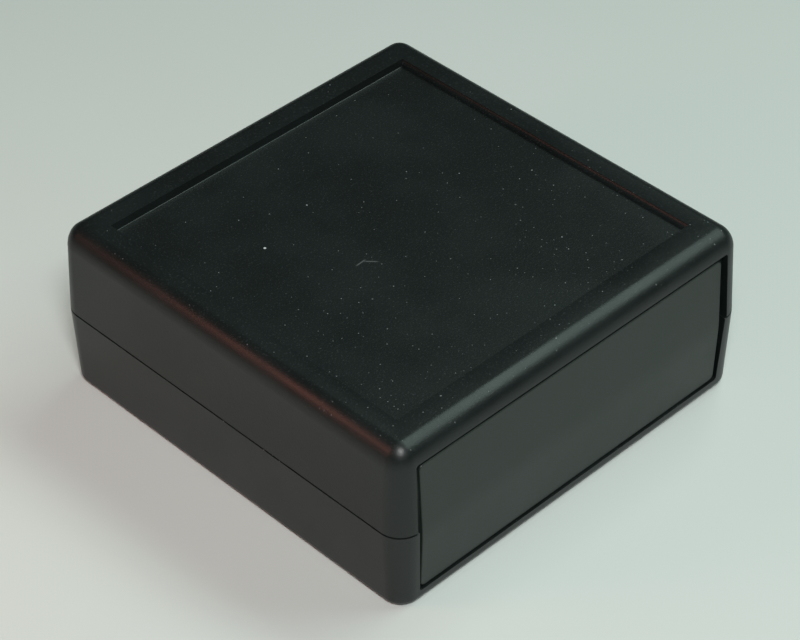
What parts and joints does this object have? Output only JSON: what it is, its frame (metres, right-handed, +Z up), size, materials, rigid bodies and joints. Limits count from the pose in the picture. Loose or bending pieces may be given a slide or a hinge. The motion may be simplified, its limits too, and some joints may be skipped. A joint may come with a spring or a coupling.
{
  "type": "plastic project box",
  "caption": "Low, nearly square moulded plastic enclosure: base and cover meet at a mid-height parting line, with a removable recessed panel in each end and a shallow label recess in the top.",
  "frame": {"origin": "centre of the underside, on the surface that the box stands on", "axes": "+X along the front panel to its right, +Y from the front panel to the rear panel, +Z up"},
  "size_m": [0.066, 0.067, 0.0272],
  "materials": {
    "case_plastic": "finely grained black moulding",
    "panel_plastic": "smooth satin black moulding",
    "screw_steel": "bright zinc plating"
  },
  "bodies": {
    "root": {"base_shell": "case_plastic", "cover_shell": "case_plastic", "front_panel": "panel_plastic", "rear_panel": "panel_plastic", "cover_screws": "screw_steel"}
  },
  "joints": []
}
